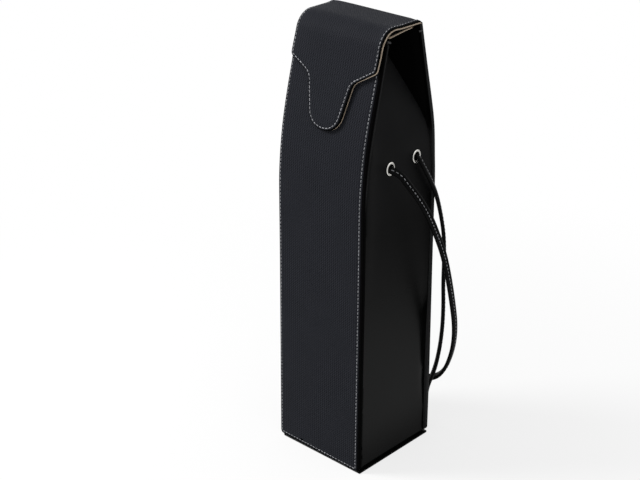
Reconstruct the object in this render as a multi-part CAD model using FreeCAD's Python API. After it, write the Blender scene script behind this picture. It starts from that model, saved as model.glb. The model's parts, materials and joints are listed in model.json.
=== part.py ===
import FreeCAD, Part
import math
import os

os.makedirs("parts", exist_ok=True)

Vec = FreeCAD.Vector

# All lengths are in millimetres, all angles in degrees

# Outside sizes of the carrier
panel_width = 90.0
body_depth = 88.0
lid_height = 373.5
taper_rise = 143.5
lid_clearance = 12.5
bend_radius = 275.0
lean_angle = 12.5

# Layers of the front and back panels
cover_thick = 1.0
board_thick = 2.0
lining_thick = 0.6
edge_turn = 1.0
lining_inset = 1.0

# Base plate
base_thick = 3.0
base_inset = 1.7
base_cover_thick = 1.0
base_lining_thick = 0.6

# Side gussets, set in from the panel edges
gusset_inset = 1.7
gusset_cover_thick = 1.0
gusset_board_thick = 1.6
gusset_lining_thick = 0.6
gusset_fold_drop = 93.5
moving_gap = 0.3

# Inward fold of the gusset tops
fold_depth = 28.3
fold_cover_thick = 1.0
fold_lining_thick = 0.6
pleat_thick = 1.2
pleat_to_panel = 1.4
fold_gap = 0.4

# Flap: lid, front fold and tongue
flap_gap = 2.0
flap_cover_thick = 1.2
flap_lining_thick = 1.2
front_fold_radius = 18.0
rear_fold_radius = 5.0
lid_board_thick = 0.8
lid_board_inset = 4.0

# Tongue outline, measured down the slope from the front fold
shoulder_outer_drop = 16.7
shoulder_inner_x = 24.2
shoulder_inner_drop = 25.4
tip_corner_x = 11.9
tip_drop = 69.6
shoulder_radius = 6.0
neck_radius = 12.0
tip_radius = 14.0

# Magnets that hold the tongue closed
magnet_radius = 6.0
panel_magnet_thick = 1.6
tongue_magnet_thick = 0.8
magnet_drop = 54.6

# Eyelets, washers and the tails of the carrying cord
eyelet_front_y = -11.3
eyelet_rear_y = 20.0
eyelet_front_drop = 18.0
eyelet_rear_drop = 17.0
eyelet_bore_radius = 3.0
eyelet_barrel_radius = 3.5
eyelet_flange_radius = 5.25
eyelet_flange_rise = 1.0
eyelet_rim_rise = 0.3
washer_radius = 5.5
washer_thick = 0.6
eyelet_lip_radius = 4.4
eyelet_lip_thick = 0.5
cord_radius = 2.5
tail_reach = 1.0
knot_radius = 5.0
knot_thick = 3.2
knot_rounding = 1.4

# Route of the carrying cord from the front eyelet to the rear one:
# out from the gusset, along the depth, down from the front eyelet
cord_route = [
    (3.3, -11.1, 1.4),
    (7.3, -10.2, 5.6),
    (12.3, -6.0, 13.4),
    (15.7, 2.5, 27.0),
    (17.2, 13.0, 44.0),
    (17.4, 24.0, 63.5),
    (17.2, 34.5, 85.0),
    (16.5, 44.5, 109.0),
    (14.9, 54.0, 135.0),
    (12.5, 61.5, 160.0),
    (9.2, 65.2, 183.0),
    (3.5, 64.0, 203.5),
    (-7.3, 60.3, 215.5),
    (-26.3, 58.2, 215.5),
    (-36.3, 57.2, 225.5),
    (-36.3, 56.3, 239.5),
    (-26.3, 55.3, 249.5),
    (-12.3, 54.2, 249.5),
    (-2.3, 53.2, 239.5),
    (-2.0, 53.0, 222.0),
    (-0.1, 53.9, 205.0),
    (2.9, 55.6, 185.5),
    (5.1, 55.2, 164.0),
    (6.8, 53.5, 142.0),
    (8.3, 51.0, 118.0),
    (9.4, 48.4, 95.0),
    (10.2, 45.4, 71.0),
    (10.7, 41.2, 48.0),
    (10.7, 35.0, 30.0),
    (9.5, 27.8, 16.0),
    (6.7, 22.8, 6.6),
    (3.3, 20.4, 0.8),
]
bend_share = 0.45

# Working values
half_width = panel_width / 2
half_depth = body_depth / 2
lean = math.radians(lean_angle)
wall_thick = cover_thick + board_thick + lining_thick
bend_start_height = lid_height - taper_rise
mouth_height = lid_height - lid_clearance
gusset_fold_height = lid_height - gusset_fold_drop
eyelet_front_height = gusset_fold_height - eyelet_front_drop
eyelet_rear_height = gusset_fold_height - eyelet_rear_drop
upright_length = bend_start_height - base_thick
bend_length = bend_radius * lean
lean_station = upright_length + bend_length
split_station = upright_length + bend_length / 2
gusset_x = half_width - gusset_inset
gusset_thick = gusset_cover_thick + gusset_board_thick + gusset_lining_thick
flap_thick = flap_cover_thick + flap_lining_thick
flap_offset = flap_gap + flap_thick
fold_apex_x = gusset_x - fold_depth

FRONT = -1
BACK = 1


def save(shape, name):
    solids = shape.Solids
    result = solids[0] if len(solids) == 1 else shape
    result.exportStep("parts/" + name + ".step")


# Points on a panel: station runs up the outer skin, depth goes inwards from it
def wall_point(side, depth, station):
    if station <= upright_length:
        y = half_depth - depth
        z = base_thick + station
    else:
        turn = min((station - upright_length) / bend_radius, lean)
        radius = bend_radius - depth
        y = half_depth - bend_radius + radius * math.cos(turn)
        z = bend_start_height + radius * math.sin(turn)
        if station > lean_station:
            run = station - lean_station
            y = y - run * math.sin(lean)
            z = z + run * math.cos(lean)
    return Vec(0, side * y, z)


def station_at_height(height, depth):
    flat_end = bend_start_height + (bend_radius - depth) * math.sin(lean)
    if height <= bend_start_height:
        return height - base_thick
    if height <= flat_end:
        rise = (height - bend_start_height) / (bend_radius - depth)
        return upright_length + bend_radius * math.asin(rise)
    return lean_station + (height - flat_end) / math.cos(lean)


def line(a, b):
    return Part.LineSegment(a, b).toShape()


def skin_edges(side, depth, low, high):
    stops = [low]
    for stop in (upright_length, lean_station):
        if low < stop < high:
            stops.append(stop)
    stops.append(high)
    edges = []
    for a, b in zip(stops[:-1], stops[1:]):
        middle = (a + b) / 2
        start = wall_point(side, depth, a)
        end = wall_point(side, depth, b)
        if upright_length < middle < lean_station:
            half = wall_point(side, depth, middle)
            edges.append(Part.Arc(start, half, end).toShape())
        else:
            edges.append(line(start, end))
    return edges


# A slab of panel between two depths and two stations, centred on x = 0
def wall(side, outer, inner, low, high, half_span):
    edges = skin_edges(side, outer, low, high)
    edges.append(line(wall_point(side, outer, high), wall_point(side, inner, high)))
    edges.extend(reversed(skin_edges(side, inner, low, high)))
    edges.append(line(wall_point(side, inner, low), wall_point(side, outer, low)))
    face = Part.Face(Part.Wire(edges))
    face.translate(Vec(-half_span, 0, 0))
    return face.extrude(Vec(2 * half_span, 0, 0))


# Cover with turned edges, board inside it and lining over both
def panel(name, side, low, high, board_cut=None):
    board_depth = cover_thick + board_thick
    board_span = half_width - edge_turn
    inner_low = low + edge_turn
    inner_high = high - edge_turn
    tray = wall(side, 0, board_depth, low, high, half_width)
    pocket = wall(side, cover_thick, wall_thick, inner_low, inner_high, board_span)
    board = wall(side, cover_thick, board_depth, inner_low, inner_high, board_span)
    if board_cut:
        board = board.cut(board_cut)
    lining_span = half_width - lining_inset
    lining = wall(side, board_depth, wall_thick, low, high, lining_span)
    save(tray.cut(pocket), name + "_cover")
    save(board, name + "_board")
    save(lining, name + "_lining")


# Disc square to the leaning front panel, given by its drop below the fold and its depth
def leaning_disc(radius, drop, outer, thick):
    height = fold_centre_front()[2] - drop
    start = wall_point(FRONT, outer, lean_station + height)
    inward = Vec(0, math.cos(lean), -math.sin(lean))
    return Part.makeCylinder(radius, thick, start, inward)


def box(x_low, x_high, y_low, y_high, z_low, z_high):
    corner = Vec(x_low, y_low, z_low)
    return Part.makeBox(x_high - x_low, y_high - y_low, z_high - z_low, corner)


# Base plate: cover tray, board in it and lining on the inside floor
def base():
    x = half_width - base_inset
    y = half_depth - base_inset
    tray = box(-x, x, -y, y, 0, base_thick)
    board_x = x - base_cover_thick
    board_y = y - base_cover_thick
    board = box(-board_x, board_x, -board_y, board_y, base_cover_thick, base_thick)
    lining_x = gusset_x - gusset_thick
    lining_y = half_depth - wall_thick
    lining_top = base_thick + base_lining_thick
    lining = box(-lining_x, lining_x, -lining_y, lining_y, base_thick, lining_top)
    save(tray.cut(board), "base_cover")
    save(board, "base_board")
    save(lining, "base_lining")


def eyelet_places():
    return (
        ("front", eyelet_front_y, eyelet_front_height),
        ("rear", eyelet_rear_y, eyelet_rear_height),
    )


# One layer of a gusset between two distances from the centre plane
def gusset_layer(x_inner, x_outer):
    top = station_at_height(gusset_fold_height, wall_thick)
    front = skin_edges(FRONT, wall_thick, 0, top)
    back = skin_edges(BACK, wall_thick, 0, top)
    front_top = wall_point(FRONT, wall_thick, top)
    back_top = wall_point(BACK, wall_thick, top)
    front_foot = wall_point(FRONT, wall_thick, 0)
    back_foot = wall_point(BACK, wall_thick, 0)
    edges = front + [line(front_top, back_top)]
    edges = edges + list(reversed(back)) + [line(back_foot, front_foot)]
    face = Part.Face(Part.Wire(edges))
    face.translate(Vec(x_inner, 0, 0))
    layer = face.extrude(Vec(x_outer - x_inner, 0, 0))
    reach = wall_thick + moving_gap
    for side in (FRONT, BACK):
        swing = wall(side, 0, reach, split_station, lean_station, half_width)
        layer = layer.cut(swing)
    for place, y, z in eyelet_places():
        start = Vec(0, y, z)
        hole = Part.makeCylinder(eyelet_barrel_radius, half_width, start, Vec(1, 0, 0))
        layer = layer.cut(hole)
    return layer


def mirrored(shape):
    return shape.mirror(Vec(0, 0, 0), Vec(1, 0, 0))


def gussets():
    board_x = gusset_x - gusset_cover_thick
    lining_x = board_x - gusset_board_thick
    inner_x = gusset_x - gusset_thick
    layers = (
        ("cover", gusset_layer(board_x, gusset_x)),
        ("board", gusset_layer(lining_x, board_x)),
        ("lining", gusset_layer(inner_x, lining_x)),
    )
    for name, layer in layers:
        save(layer, "right_gusset_" + name)
        save(mirrored(layer), "left_gusset_" + name)


# Solid turned about an axis along x from a closed outline of (radius, x)
def turned(outline, y, z):
    points = [Vec(x, radius, 0) for radius, x in outline]
    face = Part.Face(Part.makePolygon(points + points[:1]))
    solid = face.revolve(Vec(0, 0, 0), Vec(1, 0, 0), 360)
    solid.translate(Vec(0, y, z))
    return solid


def eyelet(y, z):
    rim_x = gusset_x + eyelet_rim_rise
    crown_x = gusset_x + eyelet_flange_rise
    crown_radius = (eyelet_bore_radius + eyelet_flange_radius) / 2
    washer_x = gusset_x - gusset_thick - washer_thick
    lip_x = washer_x - eyelet_lip_thick
    bore = eyelet_bore_radius
    barrel = eyelet_barrel_radius
    corners = [
        Vec(crown_x, crown_radius, 0),
        Vec(rim_x, eyelet_flange_radius, 0),
        Vec(gusset_x, eyelet_flange_radius, 0),
        Vec(gusset_x, barrel, 0),
        Vec(washer_x, barrel, 0),
        Vec(washer_x, eyelet_lip_radius, 0),
        Vec(lip_x, eyelet_lip_radius, 0),
        Vec(lip_x, bore, 0),
        Vec(rim_x, bore, 0),
    ]
    crown = Part.Arc(corners[-1], corners[0], corners[1]).toShape()
    edges = [crown]
    for a, b in zip(corners[1:-1], corners[2:]):
        edges.append(line(a, b))
    face = Part.Face(Part.Wire(edges))
    solid = face.revolve(Vec(0, 0, 0), Vec(1, 0, 0), 360)
    solid.translate(Vec(0, y, z))
    return solid


def washer(y, z):
    inner_x = gusset_x - gusset_thick - washer_thick
    outer_x = gusset_x - gusset_thick
    outline = [
        (eyelet_barrel_radius, inner_x),
        (washer_radius, inner_x),
        (washer_radius, outer_x),
        (eyelet_barrel_radius, outer_x),
    ]
    return turned(outline, y, z)


# Tail of the cord in its eyelet, with the flat knot that stops it inside
def tail(y, z):
    knot_x = gusset_x - gusset_thick - washer_thick - eyelet_lip_thick
    along = Vec(1, 0, 0)
    knot = Part.makeCylinder(knot_radius, knot_thick, Vec(knot_x - knot_thick, y, z), along)
    rims = [edge for edge in knot.Edges if len(edge.Vertexes) == 1]
    knot = knot.makeFillet(knot_rounding, rims)
    length = gusset_x + tail_reach - knot_x + knot_thick / 2
    start = Vec(knot_x - knot_thick / 2, y, z)
    stub = Part.makeCylinder(cord_radius, length, start, along)
    return knot.fuse(stub).removeSplitter()


def eyelets():
    for place, y, z in eyelet_places():
        ring = eyelet(y, z)
        back_ring = washer(y, z)
        save(ring, "right_" + place + "_eyelet")
        save(mirrored(ring), "left_" + place + "_eyelet")
        save(back_ring, "right_" + place + "_washer")
        save(mirrored(back_ring), "left_" + place + "_washer")
        save(tail(y, z), place + "_cord_tail")


# Triangle drawn in from its edges by a gap, then thickened
def triangle_sheet(a, b, c, gap, towards, thick):
    side_a = (c - b).Length
    side_b = (a - c).Length
    side_c = (b - a).Length
    total = side_a + side_b + side_c
    centre = (a * side_a + b * side_b + c * side_c) * (1 / total)
    area = (b - a).cross(c - a).Length / 2
    share = 1 - gap / (2 * area / total)
    points = [centre + (point - centre) * share for point in (a, b, c)]
    face = Part.Face(Part.makePolygon(points + points[:1]))
    return face.extrude(towards * thick)


def sheet_normal(a, b, c, inside):
    normal = (b - a).cross(c - a)
    normal.normalize()
    if normal.dot(inside - a) < 0:
        normal = normal * -1
    return normal


def fold_points(side):
    low = station_at_height(gusset_fold_height, wall_thick)
    high = station_at_height(mouth_height, wall_thick)
    foot = wall_point(side, wall_thick, low)
    head = wall_point(side, wall_thick, high)
    shift = Vec(gusset_x, -side * pleat_to_panel, 0)
    foot = foot + shift + Vec(0, 0, moving_gap)
    head = head + shift
    return foot, head


# Inward fold of a gusset top: one leaning triangle and a pleat on each side of it
def gusset_folds():
    apex = Vec(fold_apex_x, 0, mouth_height)
    front_foot, front_head = fold_points(FRONT)
    back_foot, back_head = fold_points(BACK)
    hollow = Vec(0, 0, bend_start_height)
    inward = sheet_normal(front_foot, back_foot, apex, hollow)
    cover = triangle_sheet(front_foot, back_foot, apex, fold_gap, inward, fold_cover_thick)
    lining = triangle_sheet(front_foot, back_foot, apex, fold_gap, inward, fold_lining_thick)
    lining.translate(inward * fold_cover_thick)
    sheets = [("fold_cover", cover), ("fold_lining", lining)]
    pairs = (
        ("front_pleat", FRONT, front_foot, front_head),
        ("rear_pleat", BACK, back_foot, back_head),
    )
    for name, side, foot, head in pairs:
        outside = Vec(0, side * body_depth, bend_start_height)
        towards = sheet_normal(foot, head, apex, outside)
        pleat = triangle_sheet(foot, head, apex, fold_gap, towards, pleat_thick)
        sheets.append((name, pleat))
        along = head - foot
        along.normalize()
        arm = apex - foot
        across = arm - along * arm.dot(along)
        opening = math.degrees(math.atan2(abs(across.x), abs(Vec(0, across.y, across.z).Length)))
        print(name, "hinge", tuple(foot), tuple(along), "opening angle", round(opening, 2))
    rise = math.hypot(gusset_x - fold_apex_x, mouth_height - front_foot.z)
    angle = math.degrees(math.atan2(gusset_x - fold_apex_x, mouth_height - front_foot.z))
    print("gusset fold lean", round(angle, 2), "slope length", round(rise, 2))
    for name, sheet in sheets:
        save(sheet, "right_" + name)
        save(mirrored(sheet), "left_" + name)


# Rounded outline from corner points and radii, in the plane of the tongue
def rounded_wire(corners, place):
    spots = [point for point, radius in corners]
    count = len(spots)
    edges = []
    ends = []
    for i, (point, radius) in enumerate(corners):
        before = spots[i - 1] - point
        after = spots[(i + 1) % count] - point
        before.normalize()
        after.normalize()
        if radius == 0:
            ends.append((point, point))
            continue
        half = before.getAngle(after) / 2
        run = radius / math.tan(half)
        bisector = before + after
        bisector.normalize()
        centre = point + bisector * (radius / math.sin(half))
        start = point + before * run
        middle = centre - bisector * radius
        end = point + after * run
        edges.append(Part.Arc(place(start), place(middle), place(end)).toShape())
        ends.append((start, end))
    for i in range(count):
        a = ends[i][1]
        b = ends[(i + 1) % count][0]
        edges.append(line(place(a), place(b)))
    return Part.Wire(Part.__sortEdges__(edges))


def fold_centre_front():
    z = lid_height - front_fold_radius
    touch_z = z + front_fold_radius * math.sin(lean)
    base_point = wall_point(FRONT, -flap_offset, lean_station)
    touch_y = base_point.y + (touch_z - base_point.z) * math.tan(lean)
    run = (touch_z - base_point.z) / math.cos(lean)
    return touch_y + front_fold_radius * math.cos(lean), z, run


def fold_centre_rear():
    z = lid_height - rear_fold_radius
    touch_z = z + rear_fold_radius * math.sin(lean)
    base_point = wall_point(BACK, 0, lean_station)
    touch_y = base_point.y - (touch_z - base_point.z) * math.tan(lean)
    run = (touch_z - base_point.z) / math.cos(lean)
    return touch_y - rear_fold_radius * math.cos(lean), z, run


# Curved strip of a fold between two radii, from the lean up to level
def fold_strip(side, centre_y, centre_z, outer, inner):
    turn = math.pi / 2 - lean

    def spot(radius, share):
        angle = turn * share
        y = centre_y + side * radius * math.sin(angle)
        return Vec(-half_width, y, centre_z + radius * math.cos(angle))

    arc_out = Part.Arc(spot(outer, 0), spot(outer, 0.5), spot(outer, 1)).toShape()
    arc_in = Part.Arc(spot(inner, 0), spot(inner, 0.5), spot(inner, 1)).toShape()
    edges = [
        arc_out,
        line(spot(outer, 1), spot(inner, 1)),
        arc_in,
        line(spot(inner, 0), spot(outer, 0)),
    ]
    face = Part.Face(Part.Wire(edges))
    return face.extrude(Vec(panel_width, 0, 0))


def folds():
    middle = flap_cover_thick
    for name, side, centre, radius in (
        ("front_fold", FRONT, fold_centre_front(), front_fold_radius),
        ("rear_fold", BACK, fold_centre_rear(), rear_fold_radius),
    ):
        y, z, run = centre
        cover = fold_strip(side, y, z, radius, radius - middle)
        lining = fold_strip(side, y, z, radius - middle, radius - flap_thick)
        save(cover, name + "_cover")
        save(lining, name + "_lining")
        angle = (math.pi / 2 - lean) / 2
        axis_y = y + side * radius * math.sin(angle)
        axis_z = z + radius * math.cos(angle)
        print(name, "axis y", round(axis_y, 3), "z", round(axis_z, 3))


# Lid: level top between the two folds, with a stiffener sealed in its lining
def lid():
    front_y = fold_centre_front()[0]
    rear_y = fold_centre_rear()[0] - moving_gap
    split = lid_height - flap_cover_thick
    under = lid_height - flap_thick
    cover = box(-half_width, half_width, front_y, rear_y, split, lid_height)
    lining = box(-half_width, half_width, front_y, rear_y, under, split)
    board_x = half_width - lid_board_inset
    board_front = front_y + lid_board_inset
    board_rear = rear_y - lid_board_inset
    board_low = split - lid_board_thick
    board = box(-board_x, board_x, board_front, board_rear, board_low, split)
    save(cover, "lid_cover")
    save(lining.cut(board), "lid_lining")
    save(board, "lid_board")


# Tongue: the part of the flap that lies down the front, on the same lean
def tongue():
    fold_run = fold_centre_front()[2]
    top = fold_run - moving_gap
    shoulder_outer = fold_run - shoulder_outer_drop
    shoulder_inner = fold_run - shoulder_inner_drop
    tip = fold_run - tip_drop
    corners = [
        (Vec(half_width, top, 0), 0),
        (Vec(half_width, shoulder_outer, 0), shoulder_radius),
        (Vec(shoulder_inner_x, shoulder_inner, 0), neck_radius),
        (Vec(tip_corner_x, tip, 0), tip_radius),
        (Vec(-tip_corner_x, tip, 0), tip_radius),
        (Vec(-shoulder_inner_x, shoulder_inner, 0), neck_radius),
        (Vec(-half_width, shoulder_outer, 0), shoulder_radius),
        (Vec(-half_width, top, 0), 0),
    ]
    inward = Vec(0, math.cos(lean), -math.sin(lean))

    def layer(outer, thick):
        start = wall_point(FRONT, outer, lean_station)

        def place(point):
            up_slope = Vec(0, math.sin(lean), math.cos(lean))
            return start + Vec(point.x, 0, 0) + up_slope * point.y

        face = Part.Face(rounded_wire(corners, place))
        return face.extrude(inward * thick)

    cover = layer(-flap_offset, flap_cover_thick)
    lining_depth = -flap_offset + flap_cover_thick
    lining = layer(lining_depth, flap_lining_thick)
    magnet = leaning_disc(magnet_radius, magnet_drop, lining_depth, tongue_magnet_thick)
    save(cover, "tongue_cover")
    save(lining.cut(magnet), "tongue_lining")
    save(magnet, "tongue_magnet")


def panels():
    low_end = split_station - moving_gap / 2
    high_start = split_station + moving_gap / 2
    front_end = station_at_height(mouth_height, 0)
    back_end = lean_station + fold_centre_rear()[2]
    panel("front_lower", FRONT, 0, low_end)
    panel("back_lower", BACK, 0, low_end)
    magnet = leaning_disc(magnet_radius, magnet_drop, cover_thick, panel_magnet_thick)
    panel("front_upper", FRONT, high_start, front_end, magnet)
    save(magnet, "panel_magnet")
    panel("back_upper", BACK, high_start, back_end)
    hinge = wall_point(BACK, 0, split_station)
    print("mouth hinge y", round(hinge.y, 3), "z", round(hinge.z, 3))


# Carrying cord: straight runs joined by arcs that touch them
def cord():
    points = []
    for out, along, drop in cord_route:
        points.append(Vec(gusset_x + out, along, eyelet_front_height - drop))
    edges = []
    radii = []
    here = points[0]
    length = 0
    for before, corner, after in zip(points[:-2], points[1:-1], points[2:]):
        back = before - corner
        ahead = after - corner
        run = bend_share * min(back.Length, ahead.Length)
        back.normalize()
        ahead.normalize()
        half = back.getAngle(ahead) / 2
        radius = run * math.tan(half)
        bisector = back + ahead
        bisector.normalize()
        start = corner + back * run
        end = corner + ahead * run
        middle = corner + bisector * (radius / math.sin(half) - radius)
        edges.append(line(here, start))
        edges.append(Part.Arc(start, middle, end).toShape())
        length = length + (start - here).Length + edges[-1].Length
        radii.append(radius)
        here = end
    edges.append(line(here, points[-1]))
    length = length + edges[-1].Length
    path = Part.Wire(edges)
    circle = Part.Circle(points[0], points[1] - points[0], cord_radius).toShape()
    pipe = path.makePipeShell([Part.Wire([circle])], True, False)
    ideal = math.pi * cord_radius ** 2 * length
    print("cord least radius", round(min(radii), 2), "length", round(length, 1))
    print("cord radii", [round(radius, 1) for radius in radii])
    print("cord volume", round(pipe.Volume, 1), "section by length", round(ideal, 1))
    save(pipe, "handle_cord")


base()
panels()
gussets()
eyelets()
gusset_folds()
folds()
lid()
tongue()
cord()
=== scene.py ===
import json
import math
import random

import bmesh
import bpy
import numpy as np
from mathutils import Matrix, Vector, geometry

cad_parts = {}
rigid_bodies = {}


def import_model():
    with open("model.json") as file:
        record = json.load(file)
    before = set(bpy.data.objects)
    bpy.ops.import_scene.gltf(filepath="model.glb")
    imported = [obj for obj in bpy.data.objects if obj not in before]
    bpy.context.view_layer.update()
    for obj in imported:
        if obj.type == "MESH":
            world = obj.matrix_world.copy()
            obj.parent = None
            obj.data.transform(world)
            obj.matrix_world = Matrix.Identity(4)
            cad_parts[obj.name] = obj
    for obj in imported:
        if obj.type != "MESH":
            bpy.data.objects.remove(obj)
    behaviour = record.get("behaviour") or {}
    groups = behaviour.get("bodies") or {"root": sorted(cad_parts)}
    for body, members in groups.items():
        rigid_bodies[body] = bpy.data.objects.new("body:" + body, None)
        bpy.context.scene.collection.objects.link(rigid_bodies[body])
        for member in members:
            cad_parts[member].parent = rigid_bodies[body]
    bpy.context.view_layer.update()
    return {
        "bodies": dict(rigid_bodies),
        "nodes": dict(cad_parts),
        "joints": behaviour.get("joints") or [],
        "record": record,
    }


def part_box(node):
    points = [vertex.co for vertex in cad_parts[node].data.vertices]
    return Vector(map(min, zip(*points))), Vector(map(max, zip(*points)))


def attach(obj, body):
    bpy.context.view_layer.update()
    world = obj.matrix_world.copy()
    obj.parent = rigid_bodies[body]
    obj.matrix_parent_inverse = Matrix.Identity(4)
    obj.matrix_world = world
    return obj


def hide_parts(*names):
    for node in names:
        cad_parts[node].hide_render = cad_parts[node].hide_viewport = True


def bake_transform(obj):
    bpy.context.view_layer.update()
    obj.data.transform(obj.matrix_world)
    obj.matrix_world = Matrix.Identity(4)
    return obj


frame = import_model()

# Sizes are in millimetres, and meshes are scaled to metres when they are made
MM = 0.001
scene = bpy.context.scene
random.seed(7)


def node_box(name):
    low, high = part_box(name)
    return low / MM, high / MM


# Sizes read from the frame
panel_low, panel_high = node_box("front_lower_cover")
half_width = panel_high.x
half_depth = -panel_low.y
panel_foot = panel_low.z
lid_height = node_box("lid_cover")[1].z
mouth_height = node_box("front_upper_cover")[1].z
gusset_high = node_box("right_gusset_cover")[1]
gusset_x = gusset_high.x
gusset_top = gusset_high.z

# Panel profile: upright, then a bend, then a straight lean
bend_start = 230.0
bend_radius = 275.0
lean = math.radians(12.5)
upright_length = bend_start - panel_foot
lean_station = upright_length + bend_radius * lean

# Layers, as depths below the outside
skin_thick = 1.0
panel_thick = 3.0
wall_thick = 3.6
flap_skin_thick = 1.2
flap_thick = 2.4
flap_offset = 4.4
gusset_board_depth = 2.6
fold_thick = 1.6
layer_gap = 0.05

# Folds of the flap
front_fold_radius = 18.0
rear_fold_radius = 2.6

# Stitches
stitch_inset = 0.8
groove_depth = 0.25
stitch_pitch = 3.2
stitch_length = 2.5
thread_radius = 0.33

FRONT = -1
BACK = 1
RIGHT = 1
LEFT = -1
SIDES = (("right", RIGHT), ("left", LEFT))
FACES = (("front", FRONT), ("rear", BACK))


# Share of the way from one value to another, held between 0 and 1
def rise(value, start, end):
    return min(max((value - start) / (end - start), 0), 1)


def ease(value, start, end):
    share = rise(value, start, end)
    return share * share * (3 - 2 * share)


def wall_point(side, depth, station):
    if station <= upright_length:
        return Vector((0, side * (half_depth - depth), panel_foot + station))
    turn = min((station - upright_length) / bend_radius, lean)
    radius = bend_radius - depth
    y = half_depth - bend_radius + radius * math.cos(turn)
    z = bend_start + radius * math.sin(turn)
    run = max(station - lean_station, 0)
    return Vector((0, side * (y - run * math.sin(lean)), z + run * math.cos(lean)))


def station_at_height(height, depth):
    radius = bend_radius - depth
    bend_end = bend_start + radius * math.sin(lean)
    if height <= bend_start:
        return height - panel_foot
    if height <= bend_end:
        return upright_length + bend_radius * math.asin((height - bend_start) / radius)
    return lean_station + (height - bend_end) / math.cos(lean)


# Fold centres, as (y, z, run up the slope from the start of the lean)
def fold_centre(side, offset, radius):
    z = lid_height - radius
    touch_z = z + radius * math.sin(lean)
    start = wall_point(side, -offset, lean_station)
    run = (touch_z - start.z) / math.cos(lean)
    touch_y = start.y - side * run * math.sin(lean)
    return touch_y - side * radius * math.cos(lean), z, run


front_fold_y, front_fold_z = fold_centre(FRONT, flap_offset, front_fold_radius)[:2]
rear_fold_y, rear_fold_z, rear_fold_run = fold_centre(BACK, 0, rear_fold_radius)
fold_turn = math.pi / 2 - lean
lid_start = rear_fold_radius * fold_turn
lid_end = lid_start + rear_fold_y - front_fold_y
tongue_start = lid_end + front_fold_radius * fold_turn
lid_middle = (lid_start + lid_end) / 2
fold_middle = (lid_end + tongue_start) / 2

# The flap stands proud at the right end of its front fold and sags along its left edge
proud_height = 1.6
proud_span = (25, 43)
proud_reach = 11
sag_depth = 1.3
sag_span = (-18, -42)
sag_start = (0, 10)
sag_end = (tongue_start + 17, tongue_start)


def flap_swell(x, run):
    crest = math.exp(-((run - fold_middle) / proud_reach) ** 2)
    proud = proud_height * rise(x, *proud_span) ** 2 * crest
    sag = sag_depth * rise(x, *sag_span) ** 2 * rise(run, *sag_start) * rise(run, *sag_end)
    return proud - sag


# The flap runs from the back slope over both folds and down the front
def flap_point(x, run, depth):
    depth = depth - flap_swell(x, run)
    if run < 0:
        point = wall_point(BACK, depth, lean_station + rear_fold_run + run)
        return Vector((x, point.y, point.z))
    if run < lid_start:
        angle = fold_turn - run / rear_fold_radius
        radius = rear_fold_radius - depth
        return Vector((x, rear_fold_y + radius * math.sin(angle), rear_fold_z + radius * math.cos(angle)))
    if run < lid_end:
        return Vector((x, rear_fold_y - (run - lid_start), lid_height - depth))
    angle = min((run - lid_end) / front_fold_radius, fold_turn)
    radius = front_fold_radius - depth
    y = front_fold_y - radius * math.sin(angle)
    z = front_fold_z + radius * math.cos(angle)
    down = max(run - tongue_start, 0)
    return Vector((x, y - down * math.sin(lean), z - down * math.cos(lean)))


# Closed outlines: corners with radii, drawn inwards
# Each inset is a pair, from the side before the corner and from the side after it
corner_steps = 6
least_radius = 0.35


def inset_loop(corners, insets, spans):
    spots = []
    count = len(corners)
    for i, (x, y, radius) in enumerate(corners):
        point = Vector((x, y))
        before = (Vector(corners[i - 1][:2]) - point).normalized()
        after = (Vector(corners[(i + 1) % count][:2]) - point).normalized()
        half = before.angle(after) / 2
        sign = 1 if before.cross(after) < 0 else -1
        from_before, from_after = insets[i]
        slant = sign / math.sin(2 * half)
        moved = point + before * (from_after * slant) + after * (from_before * slant)
        if radius == 0:
            spots.append([moved])
            continue
        turned = max(radius - sign * (from_before + from_after) / 2, least_radius)
        centre = moved + (before + after).normalized() * (turned / math.sin(half))
        run = turned / math.tan(half)
        start = moved + before * run - centre
        end = moved + after * run - centre
        sweep = start.angle_signed(end)
        arc = []
        for k in range(corner_steps + 1):
            arm = start.copy()
            arm.rotate(Matrix.Rotation(-sweep * k / corner_steps, 2))
            arc.append(centre + arm)
        spots.append(arc)
    loop = []
    for i, arc in enumerate(spots):
        loop.extend(arc)
        head = spots[(i + 1) % count][0]
        loop.extend(arc[-1].lerp(head, share) for share in spans[i])
    return loop


def even_spans(corners, step):
    spans = []
    for a, b in zip(corners, corners[1:] + corners[:1]):
        pieces = max(round(math.dist(a[:2], b[:2]) / step), 1)
        spans.append([k / pieces for k in range(1, pieces)])
    return spans


def steps(low, high, step):
    pieces = max(round((high - low) / step), 1)
    return [low + (high - low) * k / pieces for k in range(pieces + 1)]


def rectangle(left, low, right, high, radius):
    return [(right, low, radius), (right, high, radius), (left, high, radius), (left, low, radius)]


def oval(x, y, across, tall, count):
    turns = [2 * math.pi * k / count for k in range(count)]
    return [(x + across * math.cos(turn), y + tall * math.sin(turn)) for turn in turns]


tiny = 1e-9


def inside_loop(points, loop, clearance):
    a = loop[None, :, :]
    b = np.roll(loop, -1, 0)[None, :, :]
    p = points[:, None, :]
    edge = b - a
    climb = np.where(np.abs(edge[..., 1]) < tiny, tiny, edge[..., 1])
    crossing = (a[..., 1] > p[..., 1]) != (b[..., 1] > p[..., 1])
    reach = a[..., 0] + (p[..., 1] - a[..., 1]) / climb * edge[..., 0]
    within = (crossing & (p[..., 0] < reach)).sum(1) % 2 == 1
    along = ((p - a) * edge).sum(2) / np.maximum((edge ** 2).sum(2), tiny)
    nearest = a + np.clip(along, 0, 1)[..., None] * edge
    distance = np.sqrt(((p - nearest) ** 2).sum(2)).min(1)
    return within & (distance > clearance)


# Triangles across a ring of vertices, through a grid and round any holes
weld_distance = 1e-6


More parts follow.
